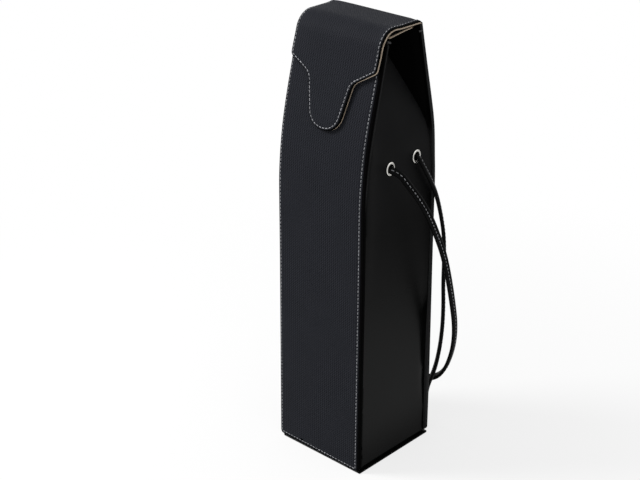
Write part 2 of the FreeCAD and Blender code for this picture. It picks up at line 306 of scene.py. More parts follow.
def fill(bm, ring, holes, columns, rows, clearance):
    loops = [ring] + holes
    verts = [v for loop in loops for v in loop]
    edges = []
    for loop in loops:
        first = len(edges)
        count = len(loop)
        edges.extend((first + i, first + (i + 1) % count) for i in range(count))
    outer = np.array([v.co[:2] for v in ring])
    inner = [np.array([v.co[:2] for v in hole]) for hole in holes]
    grid = np.array([(x, y) for y in rows for x in columns])
    keep = inside_loop(grid, outer, clearance)
    for loop in inner:
        centre = loop.mean(0)
        radius = np.linalg.norm(loop - centre, axis=1).max()
        keep &= np.linalg.norm(grid - centre, axis=1) > radius + clearance
    depth = ring[0].co.z
    verts.extend(bm.verts.new((x, y, depth)) for x, y in grid[keep])
    points = [v.co.to_2d() for v in verts]
    found = geometry.delaunay_2d_cdt(points, edges, [], 0, weld_distance)
    spots, faces, origins = found[0], found[2], found[3]
    centres = np.array([sum((spots[i] for i in face), Vector((0, 0))) / 3 for face in faces])
    wanted = inside_loop(centres, outer, 0)
    for loop in inner:
        wanted &= ~inside_loop(centres, loop, 0)
    for face, use in zip(faces, wanted):
        if use:
            bm.faces.new([verts[origins[i][0]] for i in face])


# Faces between loops of vertices, in order
def loft(bm, loops, capped=False):
    count = len(loops[0])
    for a, b in zip(loops[:-1], loops[1:]):
        for i in range(count):
            after = (i + 1) % count
            bm.faces.new((a[i], a[after], b[after], b[i]))
    if capped:
        bm.faces.new(loops[0])
        bm.faces.new(loops[-1])


def ring_loop(corners, spans, margins, share, inset):
    margins = margins or [(0, 0)] * len(corners)
    insets = [(share * before + inset, share * after + inset) for before, after in margins]
    return inset_loop(corners, insets, spans)


# A closed sheet in flat coordinates: across, along and depth
# Each ring is (share of the margin, inset, depth), and a hole is (across, along, half width, half height)
# From the sixth ring on, a stitched piece lies outside its stitches, past a short fade, and this part is
# marked to carry painted shading
stitched_edge = 5
hole_steps = 32
grid_clearance = 1.2


def slab(corners, spans, rings, columns, rows, holes=(), margins=None, clearance=grid_clearance):
    bm = bmesh.new()
    edge = bm.verts.layers.float.new("edge")
    loops = []
    for k, (share, inset, depth) in enumerate(rings):
        spots = ring_loop(corners, spans, margins, share, inset)
        loops.append([bm.verts.new((p.x, p.y, depth)) for p in spots])
        for v in loops[-1]:
            v[edge] = 1.0 if k >= stitched_edge else 0.0
    loft(bm, loops)
    ends = []
    for loop in (loops[0], loops[-1]):
        depth = loop[0].co.z
        circles = []
        for hole in holes:
            circles.append([bm.verts.new((*spot, depth)) for spot in oval(*hole, hole_steps)])
        fill(bm, loop, circles, columns, rows, clearance)
        ends.append(circles)
    for circles in zip(*ends):
        loft(bm, circles)
    return bm


def sheet(corners, span, rings, columns, rows, holes=()):
    return slab(corners, even_spans(corners, span), rings, columns, rows, holes)


# Cuts a flat sheet across, keeps one side and closes the cut
cut_tolerance = 1e-5


def cut(bm, along, keep_beyond):
    bmesh.ops.bisect_plane(
        bm,
        geom=bm.verts[:] + bm.edges[:] + bm.faces[:],
        plane_co=(0, along, 0),
        plane_no=(0, -1, 0) if keep_beyond else (0, 1, 0),
        clear_outer=True,
        dist=cut_tolerance,
    )
    rim = [edge for edge in bm.edges if edge.is_boundary]
    bmesh.ops.edgeloop_fill(bm, edges=rim)


# Outside of a stitched piece: groove for the stitches, a low slope and a small round
groove_side = 0.3 * groove_depth
edge_slope = 0.2
round_steps = 4


def stitched_rings(round_size):
    rings = [
        (1, 2 * stitch_inset, 0),
        (1, 1.5 * stitch_inset, groove_side),
        (1, stitch_inset, groove_depth),
        (1, 0.5 * stitch_inset, groove_side),
        (1, 0, 0),
        (0.6, 0, 0.15 * edge_slope),
        (0.3, 0.5 * round_size, 0.5 * edge_slope),
    ]
    for k in range(round_steps + 1):
        angle = math.pi / 2 * k / round_steps
        inset = round_size * (1 - math.sin(angle))
        rings.append((0, inset, edge_slope + round_size * (1 - math.cos(angle))))
    return rings


bevel_share = 0.3


def sheet_rings(outer, inner, bevel):
    return [
        (0, bevel, outer),
        (0, bevel * bevel_share, outer + bevel * bevel_share),
        (0, 0, outer + bevel),
        (0, 0, inner - bevel),
        (0, bevel * bevel_share, inner - bevel * bevel_share),
        (0, bevel, inner),
    ]


def add_object(name, data):
    obj = bpy.data.objects.new(name, data)
    scene.collection.objects.link(obj)
    return obj


# Faces that meet at more than these angles keep a sharp edge, on sheets and on round pieces
sheet_sharp = math.radians(50)
round_sharp = math.radians(60)


def finish_mesh(name, bm, material, sharp=round_sharp):
    bmesh.ops.recalc_face_normals(bm, faces=bm.faces)
    mesh = bpy.data.meshes.new(name)
    bm.to_mesh(mesh)
    bm.free()
    mesh.polygons.foreach_set("use_smooth", [True] * len(mesh.polygons))
    mesh.set_sharp_from_angle(angle=sharp)
    mesh.materials.append(material)
    return add_object(name, mesh)


# A flat sheet is put in place, and its flat coordinates are kept for the materials
def make_object(name, bm, place, material):
    layer = bm.verts.layers.float_vector.new("flat")
    for v in bm.verts:
        v[layer] = v.co
        v.co = place(*v.co) * MM
    return finish_mesh(name, bm, material, sheet_sharp)


def merge(bm, part):
    scratch = bpy.data.meshes.new("scratch")
    part.to_mesh(scratch)
    part.free()
    bm.from_mesh(scratch)
    bpy.data.meshes.remove(scratch)


# A piece stands for its nodes, which it hides, and rides on one body, or, when given a blend, is left in
# place with its transform applied
def dress(piece, slot, nodes, body, *blend):
    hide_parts(*nodes)
    if blend:
        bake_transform(piece)
    else:
        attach(piece, body)


# Materials are node trees, and an input is a link from another node or a plain value
class Graph:
    def __init__(self, owner):
        owner.use_nodes = True
        self.nodes = owner.node_tree.nodes
        self.links = owner.node_tree.links

    def put(self, socket, value):
        if isinstance(value, bpy.types.NodeSocket):
            self.links.new(value, socket)
        elif socket.type == "RGBA":
            socket.default_value = (*value, 1)
        else:
            socket.default_value = value

    def add(self, kind, inputs=None, **settings):
        node = self.nodes.new("ShaderNode" + kind)
        for name, value in settings.items():
            setattr(node, name, value)
        for name, value in (inputs or {}).items():
            self.put(node.inputs[name], value)
        return node.outputs

    def attribute(self, name):
        return self.add("Attribute", attribute_name=name)

    def millimetres(self):
        inputs = {"Vector": self.add("TexCoord")["Object"], "Scale": (1 / MM, 1 / MM, 1 / MM)}
        return self.add("Mapping", inputs)["Vector"]

    def noise(self, coordinates, scale, detail, roughness):
        inputs = {"Vector": coordinates, "Scale": scale, "Detail": detail, "Roughness": roughness}
        return self.add("TexNoise", inputs)["Fac"]

    def calc(self, operation, *values):
        return self.add("Math", dict(enumerate(values)), operation=operation)[0]

    def spread(self, value, low, high):
        return self.add("MapRange", {"Value": value, "To Min": low, "To Max": high})["Result"]

    def blend(self, value, ends, at_start=0, at_end=1):
        start, end = ends
        inputs = {"Value": value, "From Min": start, "From Max": end, "To Min": at_start, "To Max": at_end}
        return self.add("MapRange", inputs, interpolation_type="SMOOTHSTEP")["Result"]

    def mix(self, share, a, b, blend_type="MIX"):
        return self.add("Mix", {0: share, 6: a, 7: b}, data_type="RGBA", blend_type=blend_type)[2]

    def ramp(self, value, stops):
        node = self.nodes.new("ShaderNodeValToRGB")
        elements = node.color_ramp.elements
        for element, (position, colour) in zip(elements, (stops[0], stops[-1])):
            element.position = position
            element.color = (*colour, 1)
        for position, colour in stops[1:-1]:
            elements.new(position).color = (*colour, 1)
        self.put(node.inputs["Fac"], value)
        return node.outputs["Color"]


class Finish(Graph):
    def __init__(self, name):
        self.material = bpy.data.materials.new(name)
        super().__init__(self.material)

    # The shader's inputs, and a bump from a height
    def shade(self, inputs, height, strength, distance):
        bump = {"Height": height, "Strength": strength, "Distance": distance * MM}
        inputs = {**inputs, "Normal": self.add("Bump", bump)["Normal"]}
        shader = self.nodes["Principled BSDF"]
        for name, value in inputs.items():
            self.put(shader.inputs[name], value)
        return self.material


# Woven print on the leatherette of the panels and the flap, plain along the turned edges, which carry
# painted shading instead
weave_pitch = 2.2
weave_dark = (0.0010, 0.0012, 0.0020)
weave_light = (0.0275, 0.0292, 0.0362)
weave_roughness = 0.58
rib_share = 0.6
rib_height = 0.48
rib_tone = 0.25
inner_fade = 0.8
mouth_fade = 26


def textured_leatherette(name, specular, edge_painted_shading, edge_roughness,
                         mouth_painted_shading, inner_roughness, inner_depth, inner_station):
    finish = Finish(name)
    flat = finish.attribute("flat")["Vector"]
    x, y, depth = finish.add("SeparateXYZ", {0: flat})
    turn = 2 * math.pi / weave_pitch
    across = finish.calc("SINE", finish.calc("MULTIPLY", x, turn))
    along = finish.calc("SINE", finish.calc("MULTIPLY", y, turn))
    ribs = finish.calc("MULTIPLY_ADD", across, rib_share, finish.calc("MULTIPLY", across, along))
    grain = finish.noise(flat, scale=0.9, detail=5.0, roughness=0.7)
    patches = finish.noise(flat, scale=0.035, detail=3.0, roughness=0.5)
    height = finish.calc("MULTIPLY_ADD", ribs, rib_height, grain)
    tone = finish.calc("MULTIPLY_ADD", ribs, rib_tone, grain)
    tone = finish.calc("MULTIPLY", tone, finish.spread(patches, 0.85, 1.15))
    colour = finish.ramp(tone, [(0.0, weave_dark), (1.0, weave_light)])
    # Outside the stitches the colour is painted shading: painted shade or painted light on the turned edges
    edge = finish.attribute("edge")["Fac"]
    colour = finish.mix(edge, colour, edge_painted_shading)
    rough = finish.spread(edge, weave_roughness, edge_roughness)
    # Towards the inside the turned edge takes painted shading near the mouth: painted light on the front
    # panel, painted shade under the flap on the back panel
    deep = finish.blend(depth, (inner_depth, inner_depth + inner_fade))
    high = finish.blend(y, (inner_station, inner_station + mouth_fade))
    share = finish.calc("MULTIPLY", deep, high)
    colour = finish.mix(share, colour, mouth_painted_shading)
    rough = finish.calc("MULTIPLY_ADD", share, inner_roughness - edge_roughness, rough)
    rough = finish.calc("ADD", rough, finish.spread(grain, -0.07, 0.07))
    inputs = {"Base Color": colour, "Roughness": rough, "Specular IOR Level": specular}
    return finish.shade(inputs, height, strength=0.7, distance=0.25)


# Smooth satin leatherette with a faint grain, and painted light by height: dark in the middle, paler low as
# a painted reflection of the floor, and paler at the top as painted light under the flap
smooth_colour = (0.0014, 0.0014, 0.0015)
smooth_painted_floor_reflection = (0.0020, 0.0024, 0.0023)
smooth_painted_light_top = (0.0068, 0.0069, 0.0073)
smooth_painted_light_tip = (0.0097, 0.0099, 0.0104)
low_end = (75, 190)
low_start = (30, 80)
top_heights = (200, 270)
tip_heights = (280, 340)
gloss_heights = (110, 235)


def smooth_leatherette():
    finish = Finish("smooth_leatherette_finish")
    flat = finish.attribute("flat")["Vector"]
    height = finish.add("SeparateXYZ", {0: flat})["Y"]
    grain = finish.noise(flat, scale=1.1, detail=6.0, roughness=0.6)
    patches = finish.noise(flat, scale=0.03, detail=2.0, roughness=0.5)
    low = finish.blend(height, low_end, 1, 0)
    low = finish.calc("MULTIPLY", low, finish.blend(height, low_start, 0.65, 1))
    # Painted light at the top and tip, and a painted reflection of the floor low down
    colour = finish.mix(finish.blend(height, top_heights), smooth_colour, smooth_painted_light_top)
    colour = finish.mix(finish.blend(height, tip_heights), colour, smooth_painted_light_tip)
    colour = finish.mix(low, colour, smooth_painted_floor_reflection)
    shade = finish.ramp(patches, [(0.3, (0.85,) * 3), (0.7, (1.15,) * 3)])
    colour = finish.mix(1.0, colour, shade, "MULTIPLY")
    rough = finish.blend(height, gloss_heights, 0.2, 0.5)
    rough = finish.calc("ADD", rough, finish.spread(grain, -0.03, 0.03))
    inputs = {"Base Color": colour, "Roughness": rough, "Specular IOR Level": 0.053}
    return finish.shade(inputs, grain, strength=0.1, distance=0.1)


# Tan suede of all linings, with a soft nap
def tan_suede():
    finish = Finish("tan_suede_finish")
    place = finish.millimetres()
    nap = finish.noise(place, scale=1.8, detail=6.0, roughness=0.7)
    patches = finish.noise(place, scale=0.06, detail=3.0, roughness=0.6)
    tone = finish.calc("MULTIPLY_ADD", nap, 0.6, finish.calc("MULTIPLY", patches, 0.4))
    colour = finish.ramp(tone, [
        (0.30, (0.420, 0.330, 0.240)),
        (0.52, (0.540, 0.440, 0.335)),
        (0.75, (0.620, 0.530, 0.420)),
    ])
    inputs = {
        "Base Color": colour,
        "Roughness": 0.92,
        "Specular IOR Level": 0.15,
        "Sheen Weight": 0.25,
        "Sheen Roughness": 0.5,
    }
    return finish.shade(inputs, nap, strength=0.5, distance=0.2)


# Twisted thread, off-white for the seams, and darkened for the tacks as painted shade, since the tacks sit
# in shade under the flap
twist_along = 9.0
twist_round = 2.0
twist_tone = 0.2


def thread(name, dark, light):
    finish = Finish(name)
    along, angle, stitch_tone = finish.add("SeparateXYZ", {0: finish.attribute("flat")["Vector"]})
    phase = finish.calc("MULTIPLY_ADD", along, twist_along, finish.calc("MULTIPLY", angle, twist_round))
    twist = finish.calc("SINE", phase)
    tone = finish.calc("MULTIPLY_ADD", twist, twist_tone, stitch_tone)
    colour = finish.ramp(tone, [(0.2, dark), (0.9, light)])
    inputs = {"Base Color": colour, "Roughness": 0.7, "Specular IOR Level": 0.3}
    return finish.shade(inputs, twist, strength=0.4, distance=0.1)


# A finish whose colour, roughness and bump all follow one noise
# Roughness is one number, or a pair to spread the noise between
def grained(name, scale, detail, grain, stops, roughness, strength, distance, specular=0.5, metallic=0.0):
    finish = Finish(name)
    texture = finish.noise(finish.millimetres(), scale, detail, grain)
    if isinstance(roughness, tuple):
        roughness = finish.spread(texture, *roughness)
    inputs = {
        "Base Color": finish.ramp(texture, stops),
        "Roughness": roughness,
        "Specular IOR Level": specular,
        "Metallic": metallic,
    }
    return finish.shade(inputs, texture, strength, distance)


TEXTURED = textured_leatherette(
    "textured_leatherette_finish", specular=0.028,
    # Painted shade: near black on the turned edges of the front panel and the flap
    edge_painted_shading=(0.0006, 0.0006, 0.0007), edge_roughness=0.9,
    # Painted light: the deep part of the front panel's turned edge made paler near the mouth
    mouth_painted_shading=(0.0100, 0.0102, 0.0106), inner_roughness=0.4, inner_depth=1.3, inner_station=225,
)
BACKED = textured_leatherette(
    "textured_back_finish", specular=0.03,
    # Painted light: pale grey on the turned edges of the back panel
    edge_painted_shading=(0.0228, 0.0232, 0.0238), edge_roughness=0.3,
    # Painted shade: the deep part of the back panel's turned edge made black near the mouth, under the flap
    mouth_painted_shading=(0.0002, 0.0002, 0.0002), inner_roughness=0.9, inner_depth=2.4, inner_station=262,
)
SMOOTH = smooth_leatherette()
SUEDE = tan_suede()
THREAD = thread("thread_finish", (0.20, 0.203, 0.212), (0.385, 0.39, 0.41))
# Painted shade: the tacks' thread darkened for the shade under the flap
PAINTED_SHADE_TACK_THREAD = thread("tack_thread_painted_shade_finish", (0.03, 0.03, 0.031), (0.06, 0.06, 0.062))
# Near-black matt leatherette of the pleats and of the sheet under the lid lining: painted shade, for the
# deep shade under the flap
PAINTED_SHADE_PLEAT = grained(
    "pleat_painted_shade_finish", scale=1.1, detail=6.0, grain=0.6,
    stops=[(0.3, (0.0003,) * 3), (0.7, (0.0008,) * 3)],
    roughness=(0.5, 0.62), strength=0.15, distance=0.1, specular=0.012,
)
CORD = grained(
    "cord_leatherette_finish", scale=1.3, detail=6.0, grain=0.65,
    stops=[(0.3, (0.0009, 0.0009, 0.0010)), (0.7, (0.0024, 0.0024, 0.0027))],
    roughness=(0.36, 0.52), strength=0.35, distance=0.12, specular=0.045,
)
NICKEL = grained(
    "bright_nickel_finish", scale=0.9, detail=5.0, grain=0.6,
    stops=[(0.3, (0.66, 0.64, 0.60)), (0.7, (0.80, 0.79, 0.76))],
    roughness=(0.12, 0.28), strength=0.08, distance=0.1, metallic=1.0,
)
STEEL = grained(
    "magnet_steel_finish", scale=1.4, detail=6.0, grain=0.6,
    stops=[(0.3, (0.30, 0.30, 0.31)), (0.7, (0.45, 0.45, 0.46))],
    roughness=(0.3, 0.45), strength=0.1, distance=0.1, metallic=1.0,
)
BOARD = grained(
    "grey_board_finish", scale=0.8, detail=7.0, grain=0.75,
    stops=[(0.3, (0.16, 0.15, 0.135)), (0.55, (0.27, 0.255, 0.235)), (0.8, (0.40, 0.385, 0.36))],
    roughness=0.95, strength=0.3, distance=0.15, specular=0.2,
)


def travelled(points):
    stops = [0.0]
    for a, b in zip(points[:-1], points[1:]):
        stops.append(stops[-1] + (b - a).length)
    return stops


# Stitches along a flat path, each a short thread that dips in at both ends
# The profile is (place along the stitch, share of the thread's radius)
stitch_profile = [(-1, 0.45), (-0.85, 0.85), (-0.45, 1), (0, 1), (0.45, 1), (0.85, 0.85), (1, 0.45)]
thread_sides = 6
thread_flatness = 0.8
stitch_rise = 0.2
stitch_dip = 0.25
turn_range = (-0.07, 0.07)
tone_range = (0.3, 0.8)
length_range = (0.93, 1.05)


def stitch_mesh(path, place, pitch=stitch_pitch, length=stitch_length, surface=groove_depth):
    bm = bmesh.new()
    layer = bm.verts.layers.float_vector.new("flat")
    stops = travelled(path)
    count = int(stops[-1] / pitch)
    here = 0
    for k in range(count):
        wanted = (k + 0.5) * stops[-1] / count
        while stops[here + 1] < wanted:
            here += 1
        share = (wanted - stops[here]) / (stops[here + 1] - stops[here])
        centre = path[here].lerp(path[here + 1], share)
        along = (path[here + 1] - path[here]).normalized()
        along.rotate(Matrix.Rotation(random.uniform(*turn_range), 2))
        across = Vector((-along.y, along.x))
        tone = random.uniform(*tone_range)
        half = length / 2 * random.uniform(*length_range)
        loops = []
        for t, size in stitch_profile:
            radius = thread_radius * size
            middle = surface - stitch_rise * (1 - t ** 4) + stitch_dip * t ** 4
            loop = []
            for j in range(thread_sides):
                angle = 2 * math.pi * j / thread_sides
                spot = centre + along * (t * half) + across * (radius * math.cos(angle))
                depth = middle - thread_flatness * radius * math.sin(angle)
                v = bm.verts.new(place(spot.x, spot.y, depth) * MM)
                v[layer] = Vector((t * half, angle, tone))
                loop.append(v)
            loops.append(loop)
        loft(bm, loops, capped=True)
    return bm


# Front and back panels: the skin wraps the board and is turned in over its edges
corner_radius = 3.0
turned_edge = 5.4
turned_thick = 0.5
panel_round = 0.45
panel_step = 4.0
panel_columns = steps(-half_width, half_width, 4.5)
lining_bevel = 0.2
lining_foot = 1
lining_corner = 2
lining_span = 6
lining_column = 9
lining_row = 5
cut_gap = 0.3
mouth_blend = ((0, 0, 242 * MM), (0, 0, 278 * MM))

# Distances of the stitch line from the panel's edges, wider on the right
left_margin = 0.9
right_margin = 3.5
top_margin = 2.2
foot_margin_left = 1.3
foot_margin_right = 0.3
panel_margins = [
    (foot_margin_right, right_margin),
    (right_margin, top_margin),
    (top_margin, left_margin),
    (left_margin, foot_margin_left),
]
panel_rings = stitched_rings(panel_round) + [
    (0, 0, panel_thick + turned_thick / 2),
    (0, turned_thick / 2, panel_thick + turned_thick),
    (0, turned_edge, panel_thick + turned_thick),
    (0, turned_edge, panel_thick + 2 * layer_gap),
    (0, skin_thick, panel_thick + layer_gap),
    (0, skin_thick, skin_thick),
]

# The front skin stands off its board a little above the bend, and the back one nearly all along
# The back panel is drawn in a little below the bend
crown_station = 300
crown_reach = 34
front_crown = 1.4
back_crown = 0.7
back_lift = 0.7
waist_depth = 1.2
waist_low = (20, 240)
waist_high = (295, 250)


def back_waist(station):
    return ease(station, *waist_low) * ease(station, *waist_high)


def skin_lift(side, station):
    crown = math.exp(-((station - crown_station) / crown_reach) ** 2)
    if side == BACK:
        return back_lift + back_crown * crown - waist_depth * back_waist(station)
    return front_crown * crown


# The front panel sits a little to the left at its foot, and the back one is drawn in under the flap
foot_shift = 0.9
foot_shift_span = (170, 0)
flap_draw_share = 0.045
flap_draw_span = (320, 360)
waist_draw_share = 0.022
foot_depth_share = 0.45
lift_fade = (1.5, 0)


def panel_place(side):
    def place(x, station, depth):
        if side == FRONT:
            x = x - foot_shift * rise(station, *foot_shift_span)
        if side == BACK and x < 0:
            x = x * (1 - flap_draw_share * rise(station, *flap_draw_span))
        if side == BACK and x > 0:
            x = x * (1 - waist_draw_share * back_waist(station))
        if station < 0:
            depth = depth * foot_depth_share
        outward = skin_lift(side, station) * rise(depth, *lift_fade)
        point = wall_point(side, depth - outward, station)
        return Vector((x, point.y, point.z))

    return place


def panel(name, side, material, reach, foot, top, right_rise, cut_at=None):
    place = panel_place(side)
    corners = [
        (reach, foot, corner_radius),
        (reach, top + right_rise, corner_radius),
        (-reach, top, corner_radius),
        (-reach, foot, corner_radius),
    ]
    spans = even_spans(corners, panel_step)
    rows = steps(0, top + right_rise, panel_step)
    skin = slab(corners, spans, panel_rings, panel_columns, rows, margins=panel_margins)
    path = ring_loop(corners, spans, panel_margins, 1, stitch_inset)
    if cut_at:
        cut(skin, cut_at, False)
        ceiling = cut_at - cut_gap
        first = next(i for i, p in enumerate(path) if p.y > cut_at and p.x > 0)
        last = max(i for i, p in enumerate(path) if p.y > cut_at and p.x < 0)
        path = path[last + 1:] + path[:first]
    else:
        ceiling = top - turned_edge
        path = path + path[:1]
    inner = half_width - turned_edge - 2 * layer_gap
    pane = rectangle(-inner, lining_foot, inner, ceiling, lining_corner)
    lining = sheet(pane, lining_span, sheet_rings(panel_thick, wall_thick, lining_bevel),
                   steps(-half_width, half_width, lining_column), steps(0, top, lining_row))
    skin = make_object(name + "_panel_skin", skin, place, material)
    lining = make_object(name + "_panel_suede", lining, place, SUEDE)
    sewn = finish_mesh(name + "_panel_thread", stitch_mesh(path, place), THREAD)
    blend = ("body", name + "_upper", *mouth_blend)
    dress(skin, "textured_leatherette", [name + "_lower_cover", name + "_upper_cover"], *blend)
    dress(lining, "tan_suede", [name + "_lower_lining", name + "_upper_lining"], *blend)
    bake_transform(sewn)


# A board that follows the skin over it, in place of its node
# Its grid is three steps: round its edge, across and along
board_corner = 1
board_bevel = 0.1


def stiffener(name, node, body, run, depths, grid, place):
    low, high = node_box(node)
    span, column_step, row_step = grid
    corners = rectangle(low.x, run[0], high.x, run[1], board_corner)
    board = sheet(corners, span, sheet_rings(*depths, board_bevel),
                  steps(low.x, high.x, column_step), steps(*run, row_step))
    board = make_object(name, board, place, BOARD)
    dress(board, "grey_board", [node], body)


def back_stiffener():
    middle_depth = (skin_thick + panel_thick) / 2
    end_gap = 0.5
    low, high = node_box("back_upper_board")
    start = station_at_height(low.z, middle_depth) + end_gap
    end = station_at_height(high.z, middle_depth) - end_gap
    depths = (skin_thick + layer_gap, panel_thick - layer_gap)
    grid = (5, 9, 6)
    place = panel_place(BACK)
    stiffener("back_upper_stiffener", "back_upper_board", "back_upper", (start, end), depths, grid, place)


back_stiffener()

front_foot = -1.4
front_rise = 3.5
back_overhang = 0.4
back_waste = 8
front_top = station_at_height(mouth_height, 0)
back_top = lean_station + rear_fold_run
panel("front", FRONT, TEXTURED, half_width, front_foot, front_top, front_rise)
panel("back", BACK, BACKED, half_width + back_overhang, 0, back_top + back_waste, 0, back_top)

# Flap: rear fold, lid, front fold and tongue in one piece, parted across the lid
# Its edge stands a little in on the left, and its shoulders are uneven
flap_left = -43.2
flap_right = 45.2
flap_rear = -8
flap_round = 0.6
flap_clearance = 0.5
tip = tongue_start + 70.6
flap_corners = [
    (flap_right, flap_rear, 0),
    (flap_right - 0.2, tongue_start - 8, 0),
    (42.7, tongue_start + 17.0, 5),
    (23.2, tongue_start + 29.3, 10),
    (14.4, tip - 1.2, 16),
    (-14.7, tip + 0.3, 16),
    (-23.1, tongue_start + 30.9, 10),
    (flap_left, tongue_start + 20.2, 4),
    (flap_left, flap_rear, 0),
]
flap_margins = [
    (4.0, 3.0),
    (1.8, 1.8),
    (1.0, 1.0),
    (1.0, 2.5),
    (2.5, 1.0),
    (1.0, 1.0),
    (1.0, 1.0),
    (1.0, 0.9),
    (0.9, 4.0),
]
flap_rows = (steps(flap_rear, 0, 4)[:-1] + steps(0, lid_start, 0.7)[:-1] + steps(lid_start, lid_end, 3)[:-1]
             + steps(lid_end, tongue_start, 1.6)[:-1] + steps(tongue_start, tip, 3.5))


# The long sides are divided at the rows, so that they bend with them
def divide_flap():
    spans = even_spans(flap_corners, 2.0)
    low_gap = 0.5
    high_gap = 2.5
    for i in (0, 1, 7):
        start = flap_corners[i][1]
        end = flap_corners[i + 1][1]
        low = min(start, end) + low_gap
        high = max(start, end) - high_gap
        spans[i] = sorted((row - start) / (end - start) for row in flap_rows if low < row < high)
    return spans


flap_spans = divide_flap()
rear_blend = ("back_upper", "lid", (0, 20.5 * MM, 366.5 * MM), (0, 10.0 * MM, 374.5 * MM))
front_blend = ("lid", "tongue", (0, -6.0 * MM, 374.0 * MM), (0, -29.0 * MM, 355.0 * MM))
flap_parts = (
    ("rear", 0, lid_middle, rear_blend, ["rear_fold"]),
    ("front", lid_middle, None, front_blend, ["lid", "front_fold", "tongue"]),
)


def flap_layer(name, layer, slot, material, rings, margins, columns):
    for part, low, high, blend, nodes in flap_parts:
        piece = slab(flap_corners, flap_spans, rings, columns, flap_rows, (), margins, flap_clearance)
        cut(piece, low, True)
        if high:
            cut(piece, high, False)
        piece = make_object("flap_" + part + "_" + name, piece, flap_point, material)
        dress(piece, slot, [node + layer for node in nodes], *blend)


flap_skin_rings = stitched_rings(flap_round) + [
    (0, 0, flap_skin_thick - 2 * layer_gap),
    (0, 2 * layer_gap, flap_skin_thick),
]
# How far the rim of the lining stands out past the cover, at each corner of the flap
lining_reach = [
    (0.7, 0.7),
    (0.7, 0.7),
    (0.6, 0.5),
    (0.2, -0.3),
    (-0.4, -0.4),
    (-0.4, -0.3),
    (-0.3, 0.0),
    (0.0, 0.2),
    (0.2, 0.7),
]
flap_suede_rings = [
    (0, 1.0, 2.0),
    (0, 1.0, flap_skin_thick + 0.02),
    (0, 0.5, flap_skin_thick + 0.04),
    (-0.4, 0, 1.4),
    (-0.85, 0, 1.5),
    (-1, 0, 1.7),
    (-0.9, 0, 1.95),
    (-0.4, 0, 2.2),
    (0, 3.0, flap_thick),
]
suede_columns = steps(-half_width, half_width, 6)
flap_layer("skin", "_cover", "textured_leatherette", TEXTURED, flap_skin_rings, flap_margins, panel_columns)
flap_layer("suede", "_lining", "tan_suede", SUEDE, flap_suede_rings, lining_reach, suede_columns)


# Second, folded layer of the lining under the lid, which hangs a little towards the front
# A near-black sheet between it and the lining above it is painted shade, put where the gap lies in shadow
fold_heights = ((-17.2, 367.5), (-11.4, 368.2), (0.5, 369.5), (7.0, 369.9), (9.0, 370.2))
fold_inset = 0.6
shadow_sheet_inset = 0.8
fold_sheet = (0, 0.8, lining_bevel)
shadow_sheet_rings = (0.05, 0.95, 0.02)


def lid_lining():
    ys, tops = zip(*fold_heights)
    front, rear = ys[0], ys[-1]
    right = flap_right - fold_inset
    left = flap_left + fold_inset

    def lining_place(x, y, depth):
        sag = flap_swell(min(x, 0), lid_middle)
        return Vector((x, y, float(np.interp(y, ys, tops)) - depth + sag))

    # The painted shadow sheet's depth is a share of the room between the linings
    def shadow_sheet_place(x, y, depth):
        above = flap_point(x, lid_start + rear_fold_y - y, flap_thick)
        below = lining_place(x, y, 0)
        return Vector((x, y, above.z + (below.z - above.z) * depth))

    for name, slot, inset, rings, place, material in (
        ("fold", "tan_suede", 0, sheet_rings(*fold_sheet), lining_place, SUEDE),
        # Painted shade: a dark sheet filling the shadowed gap under the lid
        ("painted_shadow", "smooth_leatherette", shadow_sheet_inset, sheet_rings(*shadow_sheet_rings), shadow_sheet_place, PAINTED_SHADE_PLEAT),
    ):
        corners = rectangle(left + inset, front + 2 * inset, right - inset, rear - inset, 1)
        piece = sheet(corners, 3, rings, steps(left, right, 6), steps(front, rear, 3))
        piece = make_object("lid_lining_" + name, piece, place, material)
        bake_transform(piece)


lid_lining()


# Board of the lid, bent with it
def lid_stiffener():
    rear_gap = 3
    board_depth = 1.95
    low, high = node_box("lid_board")
    origin = lid_start + rear_fold_y
    run = (origin - high.y + rear_gap, origin - low.y)
    depths = (flap_skin_thick + layer_gap, board_depth)
    grid = (4, 6, 5)
    stiffener("lid_stiffener", "lid_board", "lid", run, depths, grid, flap_point)


lid_stiffener()


def flap_stitches():
    path = ring_loop(flap_corners, flap_spans, flap_margins, 1, stitch_inset)
    edge = max(i for i, p in enumerate(path) if p.x < 0)
    path = [p for p in path[:edge + 1] if p.y > -1]
    beyond = [i for i, p in enumerate(path) if p.y > lid_middle]
    first, last = beyond[0], beyond[-1]
    front = finish_mesh("flap_front_thread", stitch_mesh(path[first:last + 1], flap_point), THREAD)
    bm = bmesh.new()
    for run in (path[:first + 1], path[last:]):
        merge(bm, stitch_mesh(run, flap_point))
    rear = finish_mesh("flap_rear_thread", bm, THREAD)
    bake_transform(rear)
    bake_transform(front)


flap_stitches()

# Gussets: upright wall that leans in above the fold
fold_foot_y = 32.4
fold_foot_z = 290.0
apex_x = 15.0
fold_lean = math.atan2(gusset_x - apex_x, mouth_height - fold_foot_z)
fold_slope = math.hypot(gusset_x - apex_x, mouth_height - fold_foot_z)
fold_bend = 90.0
fold_tangent = fold_bend * math.tan(fold_lean / 2)
fold_start = fold_foot_z - fold_tangent
fold_top = fold_start + fold_bend * fold_lean + fold_slope - fold_tangent
fold_blend = ((0, 0, 270 * MM), (0, 0, 300 * MM))
eyelets = (("front", -11.3, 262.1), ("rear", 20.0, 263.5))
eyelet_hole = 3.4
eyelet_stretch = 0.85
base_flange = 1.4


def gusset_profile(height, depth):
    if height <= fold_start:
        return gusset_x - depth, height
    arc = min((height - fold_start) / fold_bend, fold_lean)
    radius = fold_bend - depth
    x = gusset_x - depth - radius * (1 - math.cos(arc))
    z = fold_start + radius * math.sin(arc)
    run = max(height - fold_start - fold_bend * fold_lean, 0)
    return x - run * math.sin(fold_lean), z + run * math.cos(fold_lean)


